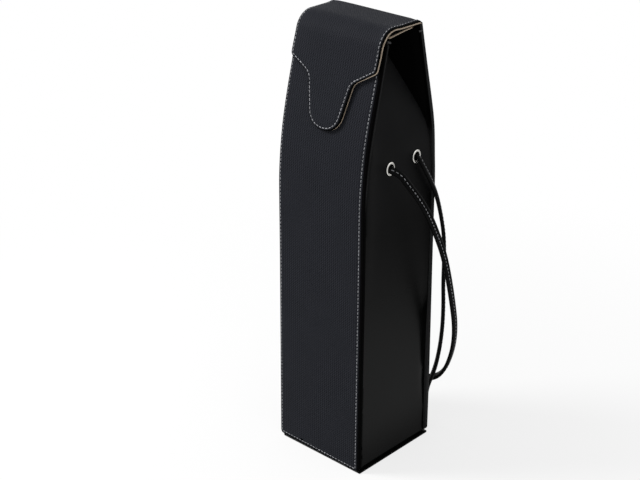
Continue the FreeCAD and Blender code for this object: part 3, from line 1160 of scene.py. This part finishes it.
# Slight unevenness of the large smooth wall: two waves over a shallow hollow
gusset_half = 40
hollow = 0.25
long_wave = 0.16
long_wave_run = 47.0
long_wave_phase = 0.6
short_wave = 0.08
short_wave_run = 19.0
short_wave_slant = 23.0


def gusset_swell(y, height):
    wide = math.cos(math.pi * min(abs(y) / gusset_half, 1) / 2)
    long = long_wave * math.sin(height / long_wave_run + long_wave_phase)
    short = short_wave * math.sin(height / short_wave_run + y / short_wave_slant)
    return wide * (long + short - hollow)


# The wall comes out to the panels' edges along the back and along the top of the front
# A flare is its size, the span of y that it grows over, and the heights that it grows over
# Low on its rear edge the wall is tucked in
rear_flare = (0.2, (36.5, 40), (fold_foot_z, fold_foot_z - 20))
front_flare = (1.3, (-24, -38), (150, 240))
rear_tuck = 0.8
rear_tuck_span = (30, 40)
rear_tuck_start = (25, 55)
rear_tuck_end = (130, 90)


def gusset_place(side):
    def place(y, height, depth):
        x, z = gusset_profile(height, depth)
        x += gusset_swell(y, height)
        for size, span, heights in (rear_flare, front_flare):
            x += size * ease(y, *span) * ease(height, *heights)
        tuck = rise(y, *rear_tuck_span) ** 2 * ease(height, *rear_tuck_start) * ease(height, *rear_tuck_end)
        return Vector((side * (x - rear_tuck * tuck), y, z))

    return place


# Outline of a gusset's sheet: gaps to the panels and to the folds, and the height of its foot
edge_start = 120
edge_step = 16
fold_rise = 0.6
apex_gap_share = 2.4
apex_radius = 1.0


def gusset_corners(gap, fold_gap, foot):
    side = []
    for height in [foot] + steps(edge_start, fold_foot_z, edge_step):
        y = wall_point(BACK, wall_thick, station_at_height(height, wall_thick)).y - gap
        side.append((y, height, 0))
    mirrored = [(-y, height, 0) for y, height, radius in reversed(side)]
    foot_y = fold_foot_y - fold_gap
    fold_z = fold_foot_z + fold_rise
    apex = (0, fold_top - apex_gap_share * fold_gap, apex_radius)
    return side + [(foot_y, fold_z, 0), apex, (-foot_y, fold_z, 0)] + mirrored


skin_gap = 0.15
skin_fold_gap = -0.6
gusset_lining_gap = 0.3
lining_fold_gap = 2.0
foot_gap = 0.3
board_drop = 2
lining_sink = (fold_foot_z + 10, fold_foot_z - 4)
gusset_span = 4
gusset_grid = 5
board_span = 6
board_grid = 8
smooth_bevel = 0.3


def gussets():
    holes = [(y, z, eyelet_hole, eyelet_hole + eyelet_stretch) for place, y, z in eyelets]
    columns = [-38, -36, -34, -32] + steps(-gusset_half, gusset_half, gusset_grid) + [32, 34, 36, 38]
    rows = steps(5, 370, gusset_grid)
    outline = gusset_corners(skin_gap, skin_fold_gap, base_flange + 0.1)
    inner = gusset_corners(gusset_lining_gap, lining_fold_gap, panel_foot + foot_gap)
    whole = gusset_corners(skin_gap, skin_fold_gap, panel_foot + foot_gap)
    low = [(y, min(z, gusset_top - board_drop), 0) for y, z, radius in whole if z <= gusset_top]
    skin_rings = sheet_rings(0, skin_thick, smooth_bevel)
    lining_rings = sheet_rings(skin_thick, fold_thick, lining_bevel)
    board_rings = sheet_rings(skin_thick, gusset_board_depth, lining_bevel)
    board_columns = steps(-gusset_half, gusset_half, board_grid)
    board_rows = steps(5, 278, board_grid)
    for name, side in SIDES:
        place = gusset_place(side)

        # The lining lies on the board, and on the skin where the board ends
        def lining_place(y, height, depth):
            sunk = rise(height, *lining_sink)
            return place(y, height, depth + sunk * (gusset_board_depth - skin_thick))

        skin = sheet(outline, gusset_span, skin_rings, columns, rows, holes)
        lining = sheet(inner, gusset_span, lining_rings, columns, rows, holes)
        board = sheet(low, board_span, board_rings, board_columns, board_rows, holes)
        skin = make_object(name + "_gusset_skin", skin, place, SMOOTH)
        lining = make_object(name + "_gusset_suede", lining, lining_place, SUEDE)
        board = make_object(name + "_gusset_stiffener", board, place, BOARD)
        blend = ("body", name + "_fold", *fold_blend)
        dress(skin, "smooth_leatherette", [name + "_gusset_cover", name + "_fold_cover"], *blend)
        dress(lining, "tan_suede", [name + "_gusset_lining", name + "_fold_lining"], *blend)
        dress(board, "grey_board", [name + "_gusset_board"], "body")


gussets()

# Pleats: from the panel's edge in to the apex, with a short flange on the panel
# The rear ones rise with the back panel, close under the lid, and one front one with its panel
pleat_flange = {"front": 0.4, "rear": 1.5}
pleat_rise = {
    ("right", "front"): 3.0,
    ("right", "rear"): 7.0,
    ("left", "front"): 0.0,
    ("left", "rear"): 7.0,
}
pleat_gap = 1.4
pleat_thick = 1.2
pleat_bow = 0.8
pleat_corner = 1.0
pleat_toe = (1.8, -13, 0)
pleat_overlap = 4.2
pleat_drop = 6.5
pleat_tip = 0.6
pleat_grid = 3


def pleat(name, side, face_name, face):
    head_y = wall_point(BACK, wall_thick, station_at_height(mouth_height, wall_thick)).y - pleat_gap
    foot = Vector((side * gusset_x, face * fold_foot_y, fold_foot_z))
    head = Vector((side * gusset_x, face * head_y, mouth_height))
    arm = Vector((side * apex_x, 0, mouth_height)) - foot
    along = (head - foot).normalized()
    inward = (arm - along * arm.dot(along)).normalized()
    normal = along.cross(inward)
    if normal.y * face < 0:
        normal = -normal
    reach = arm.dot(inward)
    apex_along = arm.dot(along)
    length = (head - foot).length + pleat_rise[name, face_name]
    flange = pleat_flange[face_name]

    def place(w, h, depth):
        bow = pleat_bow * math.sin(math.pi * rise(w, 0, reach)) * min(h / length, 1)
        spot = foot + along * h + normal * (depth + bow)
        if w < 0:
            return spot + Vector((0, -face * w, 0))
        return spot + inward * w

    # The part past the crease lies behind the leaning wall until the mouth opens
    corners = [
        (-flange, 1, 0),
        pleat_toe,
        (reach + pleat_overlap, apex_along - pleat_drop, pleat_corner),
        (reach + pleat_tip, apex_along, pleat_corner),
        (-flange, length, pleat_corner),
    ]
    node = name + "_" + face_name + "_pleat"
    columns = steps(0, reach + 3, pleat_grid)
    rows = steps(-12, 95, pleat_grid)
    piece = sheet(corners, pleat_grid, sheet_rings(0, pleat_thick, smooth_bevel), columns, rows)
    # The pleat's near-black finish is painted shade
    piece = make_object(node + "_skin", piece, place, PAINTED_SHADE_PLEAT)
    dress(piece, "smooth_leatherette", [node], node)


for side_name, side in SIDES:
    for face_name, face in FACES:
        pleat(side_name, side, face_name, face)

# Short bars of thread across the head of each seam between panel and pleat
# Each is drawn from the outside inwards, as (y, z, x) at both ends
tack_bars = (
    ("right_front", RIGHT, "front_upper", (-20.2, 365.0, 45.25), (-14.6, 363.0, 43.9)),
    ("left_front", LEFT, "front_upper", (-20.6, 361.0, 45.25), (-15.2, 359.6, 43.9)),
    ("right_rear", RIGHT, "back_upper", (20.0, 365.4, 45.6), (15.8, 365.4, 45.4)),
    ("left_rear", LEFT, "back_upper", (20.0, 365.4, 45.6), (15.8, 365.4, 45.4)),
)
tack_lifts = (-0.45, 0, 0.45)


def tacks():
    for name, side, body, start, end in tack_bars:
        length = math.dist(start[:2], end[:2])
        path = [Vector((0, 0)), Vector((length, 0))]
        bm = bmesh.new()
        for lift in tack_lifts:

            def place(run, up, depth):
                y, z, x = Vector(start).lerp(Vector(end), run / length)
                return Vector((side * (x - depth), y, z + up + lift))

            # The pitch is a little under the length, so that one stitch fits
            merge(bm, stitch_mesh(path, place, 0.9 * length, length, 0))
        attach(finish_mesh(name + "_tack_thread", bm, PAINTED_SHADE_TACK_THREAD), body)


tacks()

# Base: cover with a low flange flush with the walls, and the suede floor
base_right = 45.4
base_left = -43.4
base_front = -44.4
base_back = 44.2
base_step = 3.4
base_lip = 4.3
base_floor = 1
base_span = 5
base_grid = 8


def base():
    low, high = node_box("base_cover")
    corners = [
        (base_right, base_front, 0.8),
        (base_right, base_back, 1.5),
        (base_left, base_back, 3.0),
        (base_left, base_front, 3.0),
    ]
    rings = [
        (0, 0.5, 0),
        (0, 0.15, 0.15),
        (0, 0, 0.5),
        (0, 0, base_flange - 0.4),
        (0, 0.12, base_flange - 0.12),
        (0, 0.4, base_flange),
        (0, base_step, base_flange + layer_gap),
        (0, base_step, high.z - 2 * layer_gap),
        (0, base_lip, high.z - layer_gap),
        (0, base_lip, base_floor),
    ]
    cover = sheet(corners, base_span, rings,
                  steps(low.x, high.x, base_grid), steps(low.y, high.y, base_grid))
    low, high = node_box("base_lining")
    corners = rectangle(low.x, low.y, high.x, high.y, 1)
    lining = sheet(corners, base_span, sheet_rings(low.z, high.z, lining_bevel),
                   steps(low.x, high.x, base_grid), steps(low.y, high.y, base_grid))

    def place(x, y, z):
        return Vector((x, y, z))

    cover = make_object("base_skin", cover, place, SMOOTH)
    lining = make_object("base_suede", lining, place, SUEDE)
    dress(cover, "smooth_leatherette", ["base_cover"], "body")
    dress(lining, "tan_suede", ["base_lining"], "body")


base()

# Eyelets and their washers, drawn round the line through each hole, a little taller than wide
# An outline is a list of (radius, distance from the middle of the box)
eyelet_bore = 2.95
eyelet_flange = 4.8
eyelet_crown = 0.65
eyelet_steps = 12
ring_steps = 48
washer_reach = 5.5
washer_bevel = 0.15
washer_bore = eyelet_hole + layer_gap
washer_x = node_box("right_front_washer")[0].x
washer_face = node_box("right_front_washer")[1].x


def eyelet_outline():
    middle = (eyelet_bore + eyelet_flange) / 2
    half = (eyelet_flange - eyelet_bore) / 2
    outline = []
    for k in range(eyelet_steps + 1):
        angle = math.pi * k / eyelet_steps
        outline.append((middle + half * math.cos(angle), gusset_x + 0.1 + eyelet_crown * math.sin(angle)))
    return outline + [
        (eyelet_bore, gusset_x - 1),
        (eyelet_bore, washer_x - 0.2),
        (eyelet_bore + 0.25, washer_x - 0.5),
        (4.2, washer_x - 0.4),
        (4.4, washer_x - 0.2),
        (4.3, washer_x),
        (eyelet_hole, washer_x),
        (eyelet_hole, gusset_x),
        (eyelet_flange - 0.1, gusset_x),
    ]


def washer_outline():
    return [
        (washer_bore, washer_x),
        (washer_bore, washer_face),
        (washer_reach - washer_bevel, washer_face),
        (washer_reach, washer_face - washer_bevel),
        (washer_reach, washer_x + washer_bevel),
        (washer_reach - washer_bevel, washer_x),
    ]


def metal(node, outline, side, y, z):
    bm = bmesh.new()
    loops = []
    for radius, x in outline:
        spots = oval(y, z, radius, radius + eyelet_stretch, ring_steps)
        loops.append([bm.verts.new(Vector((side * x, *spot)) * MM) for spot in spots])
    loft(bm, loops + loops[:1])
    ring = finish_mesh(node + "_ring", bm, NICKEL)
    dress(ring, "bright_nickel", [node], "body")


for side_name, side in SIDES:
    for place, y, z in eyelets:
        metal(side_name + "_" + place + "_eyelet", eyelet_outline(), side, y, z)
        metal(side_name + "_" + place + "_washer", washer_outline(), side, y, z)

# Materials for the boards and magnets among the solids
for name, node in frame["nodes"].items():
    for ending, material in (("_board", BOARD), ("_magnet", STEEL)):
        if name.endswith(ending):
            node.data.materials.clear()
            node.data.materials.append(material)

# Carrying cord: a flat strip of folded leatherette, stitched along its middle
cord_half_width = 2.9
cord_half_thick = 1.65
cord_pitch = 3.7
cord_stitch_length = 2.3
cord_route = [
    (46.6, -11.1, 260.6),
    (50.9, -8.4, 258.8),
    (55.8, -4.7, 250.4),
    (59.7, 4.4, 237.0),
    (62.5, 13.8, 221.0),
    (63.2, 23.5, 201.9),
    (63.9, 33.0, 181.0),
    (63.9, 40.8, 157.1),
    (63.4, 48.4, 130.6),
    (62.3, 55.1, 104.6),
    (58.6, 58.1, 79.9),
    (51.3, 56.3, 56.6),
    (36.0, 57.8, 43.8),
    (15.0, 58.4, 40.6),
    (6.3, 57.4, 32.0),
    (6.3, 56.4, 20.2),
    (14.7, 55.4, 12.0),
    (26.3, 54.4, 12.0),
    (34.8, 53.6, 20.6),
    (36.3, 53.4, 38.5),
    (47.9, 47.9, 61.6),
    (51.2, 49.1, 81.6),
    (52.6, 50.1, 102.4),
    (52.3, 50.7, 122.9),
    (49.5, 52.6, 143.8),
    (49.9, 52.1, 165.4),
    (49.7, 50.8, 187.7),
    (48.5, 46.4, 209.2),
    (48.1, 40.6, 226.5),
    (47.9, 33.3, 240.1),
    (48.2, 26.4, 250.2),
    (46.6, 20.4, 261.2),
]

# Way the stitched face looks, at shares of the cord's length
cord_faces = [
    (0.00, Vector((0.60, -0.55, 0.65))),
    (0.12, Vector((0.62, -0.60, 0.50))),
    (0.28, Vector((0.90, -0.10, 0.30))),
    (0.36, Vector((0.90, 0.40, 0.10))),
    (0.46, Vector((0.74, 0.68, 0.00))),
    (0.86, Vector((0.74, 0.68, 0.00))),
    (0.94, Vector((0.80, 0.50, 0.30))),
    (1.00, Vector((0.75, 0.45, 0.50))),
]


def spline_points(route):
    curve = bpy.data.curves.new("route", "CURVE")
    curve.dimensions = "3D"
    spline = curve.splines.new("NURBS")
    spline.points.add(len(route) - 1)
    for point, spot in zip(spline.points, route):
        point.co = (*(Vector(spot) * MM), 1)
    spline.order_u = 3
    spline.use_endpoint_u = True
    spline.resolution_u = 10
    holder = add_object("route", curve)
    mesh = bpy.data.meshes.new_from_object(holder)
    points = [v.co.copy() for v in mesh.vertices]
    bpy.data.objects.remove(holder)
    bpy.data.curves.remove(curve)
    bpy.data.meshes.remove(mesh)
    return points


def face_at(faces, share):
    for (low, a), (high, b) in zip(faces[:-1], faces[1:]):
        if share <= high:
            return a.lerp(b, (share - low) / (high - low))
    return faces[-1][1]


# Frames along the cord, as (point, along, face, side)
def cord_frames(points, faces):
    frames = []
    last = len(points) - 1
    for i, point in enumerate(points):
        along = (points[min(i + 1, last)] - points[max(i - 1, 0)]).normalized()
        guide = face_at(faces, i / last)
        face = (guide - along * guide.dot(along)).normalized()
        frames.append((point, along, face, along.cross(face)))
    return frames


# Section of the strip as (towards the face, sideways), with a groove for the stitches
section_step = 15
section_power = 0.8
cord_groove = 0.3


def squared(value):
    return math.copysign(abs(value) ** section_power, value)


def cord_section(half_thick, half_width):
    section = []
    for degrees in range(0, 360, section_step):
        angle = math.radians(degrees)
        section.append((squared(math.cos(angle)) * half_thick, squared(math.sin(angle)) * half_width))
    section[0] = (half_thick - cord_groove, 0)
    return section


def tube(points, faces, section):
    bm = bmesh.new()
    layer = bm.verts.layers.float_vector.new("flat")
    loops = []
    for (point, along, face, side), run in zip(cord_frames(points, faces), travelled(points)):
        loop = []
        for lift, sideways in section:
            v = bm.verts.new(point + (face * lift + side * sideways) * MM)
            v[layer] = Vector((sideways, run / MM, lift))
            loop.append(v)
        loops.append(loop)
    loft(bm, loops, capped=True)
    return bm


# Way of a tail from inside the eyelet out to the first point of the cord
tail_stops = (36.8, 40, 42.6)
tail_lead = 2.6


def tail_route(end):
    place, y, z = eyelets[end]
    out, beyond = (cord_route[:2], cord_route[:-3:-1])[end]
    out = Vector(out)
    back = out - (Vector(beyond) - out).normalized() * tail_lead
    return [(x, y, z) for x in tail_stops] + [tuple(back), tuple(out)]


def tail_faces(end):
    face = cord_faces[-end][1]
    return [(0, face), (1, face)]


# The stitches run on into both eyelets
shown_x = 43.8
cord_end_gap = 0.2
path_step = 3


def cord_stitches(points):
    frames = cord_frames(points, cord_faces)
    for end in (0, 1):
        tail = cord_frames(spline_points(tail_route(end)), tail_faces(end))[:-1]
        tail = [frame for frame in tail if frame[0].x > shown_x * MM]
        if end == 0:
            frames = tail + frames
            continue
        frames += [(point, -along, face, -side) for point, along, face, side in reversed(tail)]
    stops = [stop / MM for stop in travelled([frame[0] for frame in frames])]

    def place(x, run, depth):
        here = int(np.searchsorted(stops, run)) - 1
        here = min(max(here, 0), len(frames) - 2)
        share = (run - stops[here]) / (stops[here + 1] - stops[here])
        a, b = frames[here], frames[here + 1]
        point = a[0].lerp(b[0], share) / MM
        face = a[2].lerp(b[2], share).normalized()
        side = a[3].lerp(b[3], share).normalized()
        return point + face * (cord_half_thick - depth) + side * x

    path = [Vector((0, run)) for run in steps(cord_end_gap, stops[-1] - cord_end_gap, path_step)]
    return stitch_mesh(path, place, cord_pitch, cord_stitch_length)


swing_blend = ("body", "handle", (46.6 * MM, 0, 260.6 * MM), (53.5 * MM, 0, 252.5 * MM))
strip_section = cord_section(cord_half_thick, cord_half_width)


def cord():
    points = spline_points(cord_route)
    line = finish_mesh("carrying_cord", tube(points, cord_faces, strip_section), CORD)
    sewn = finish_mesh("cord_thread", cord_stitches(points), THREAD)
    dress(line, "cord_leatherette", ["handle_cord"], *swing_blend)
    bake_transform(sewn)


cord()

# Tails of the cord: through the eyelet to a flat knot inside, wound twice round
knot_x = 37.3
knot_radius = 3.0
knot_swing = 0.9
knot_lift = 0.75
knot_waves = 1.5
knot_rounds = 2
knot_steps = 60
knot_half = 1.15
knot_face = Vector((1, 0.01, 0.01))


def tails():
    for end, (place, y, z) in enumerate(eyelets):
        turns = []
        for k in range(knot_steps + 1):
            angle = knot_rounds * 2 * math.pi * k / knot_steps
            size = knot_radius + knot_swing * math.cos(knot_waves * angle)
            x = knot_x + knot_lift * math.sin(knot_waves * angle)
            turns.append(Vector((x, y + size * math.cos(angle), z + size * math.sin(angle))) * MM)
        stub = tube(spline_points(tail_route(end)), tail_faces(end), strip_section)
        merge(stub, tube(turns, [(0, knot_face), (1, knot_face)], cord_section(knot_half, knot_half)))
        node = place + "_cord_tail"
        tail = finish_mesh(node + "_knot", stub, CORD)
        dress(tail, "cord_leatherette", [node], "body")


tails()


def direction(azimuth, elevation):
    a, e = math.radians(azimuth), math.radians(elevation)
    return Vector((math.sin(a) * math.cos(e), -math.cos(a) * math.cos(e), math.sin(e)))


# Camera at the photograph's viewing angle
def camera():
    azimuth = 42.88
    elevation = 25.03
    roll = math.radians(0.07)
    distance = 1163.2
    focal_pixels = 1431.1
    image_width = 640
    aim_height = 184.3
    aim_left = 29.9
    back = direction(azimuth, elevation)
    right = direction(azimuth + 90, 0)
    up = back.cross(right)
    aim = Vector((0, 0, aim_height)) - right * aim_left
    turned_right = right * math.cos(roll) + up * math.sin(roll)
    turned_up = up * math.cos(roll) - right * math.sin(roll)
    data = bpy.data.cameras.new("camera")
    data.sensor_width = 36
    data.lens = focal_pixels / image_width * data.sensor_width
    data.clip_start = 0.05
    data.clip_end = 50
    cam = add_object("camera", data)
    axes = Matrix((turned_right, turned_up, back)).transposed().to_4x4()
    axes.translation = (aim + back * distance) * MM
    cam.matrix_world = axes
    scene.camera = cam


camera()


# Pale floor, soft lights and a white surround, with lengths in metres
def seen_rays(graph):
    rays = graph.add("LightPath")
    total = graph.calc("MAXIMUM", rays["Is Camera Ray"], rays["Is Glossy Ray"])
    return graph.calc("MAXIMUM", total, rays["Is Transmission Ray"])


floor_reach = 6.0
floor_height = -0.0002
floor_colour = (0.9, 0.9, 0.9)
white = (1, 1, 1)

# Near the object the floor shows its shadow, and further out it turns white
shadow_ends = (0.12, 0.6)
shadow_white = 0.78

# In reflections the floor's glow is lowered towards the far right and at the gusset's foot: painted shade
# for a falloff of light to the far right, and a painted contact shadow at the foot
far_right = (0.68, 0.73, 0)
far_ends = (0.17, 0.46)
far_painted_shade = -0.44
foot_ends = (0.036, 0.095)
foot_painted_shadow = -0.62
beside_ends = (0.02, 0.04)
behind_ends = (-0.05, -0.03)


def floor():
    mesh = bpy.data.meshes.new("floor")
    corners = rectangle(-floor_reach, -floor_reach, floor_reach, floor_reach, 0)
    mesh.from_pydata([(x, y, floor_height) for x, y, radius in corners], [], [(0, 1, 2, 3)])
    material = bpy.data.materials.new("floor_white")
    graph = Graph(material)
    graph.nodes.clear()
    spot = graph.add("NewGeometry")["Position"]
    x, y, z = graph.add("SeparateXYZ", {0: spot})
    glossy = graph.add("LightPath")["Is Glossy Ray"]
    away = graph.add("VectorMath", {0: spot}, operation="LENGTH")["Value"]
    beyond = graph.add("VectorMath", {0: spot, 1: far_right}, operation="DOT_PRODUCT")["Value"]
    far = graph.blend(beyond, far_ends, 0, far_painted_shade)
    corner = graph.calc("MULTIPLY", graph.blend(x, beside_ends), graph.blend(y, behind_ends))
    foot = graph.calc("MULTIPLY", graph.blend(x, foot_ends, foot_painted_shadow, 0), corner)
    # Painted shade in the floor's glow, seen only in reflections
    loss = graph.calc("MULTIPLY", graph.calc("ADD", far, foot), glossy)
    shown = graph.calc("MAXIMUM", graph.blend(away, shadow_ends, shadow_white, 1), glossy)
    matt = graph.add("BsdfDiffuse", {"Color": floor_colour})[0]
    glow = graph.add("Emission", {"Color": white, "Strength": graph.calc("ADD", loss, 1)})[0]
    share = graph.calc("MULTIPLY", seen_rays(graph), shown)
    graph.add("OutputMaterial", {"Surface": graph.add("MixShader", {0: share, 1: matt, 2: glow})[0]})
    mesh.materials.append(material)
    add_object("floor", mesh)


light_aim = Vector((0, 0, 0.18))


def area_light(name, azimuth, elevation, distance, size, power):
    data = bpy.data.lights.new(name, "AREA")
    data.shape = "DISK"
    data.size = size
    data.energy = power
    back = direction(azimuth, elevation)
    obj = add_object(name, data)
    obj.location = light_aim + back * distance
    obj.rotation_mode = "QUATERNION"
    obj.rotation_quaternion = back.to_track_quat("Z", "Y")


def surround():
    scene.world = bpy.data.worlds.new("surround")
    graph = Graph(scene.world)
    shader = graph.nodes["Background"]
    graph.put(shader.inputs["Color"], white)
    graph.put(shader.inputs["Strength"], graph.spread(seen_rays(graph), 0.3, 1.0))


floor()
area_light("key", azimuth=-50, elevation=38, distance=1.8, size=0.6, power=30)
area_light("top", azimuth=10, elevation=80, distance=1.8, size=1.4, power=9)
surround()
scene.view_settings.view_transform = "Standard"
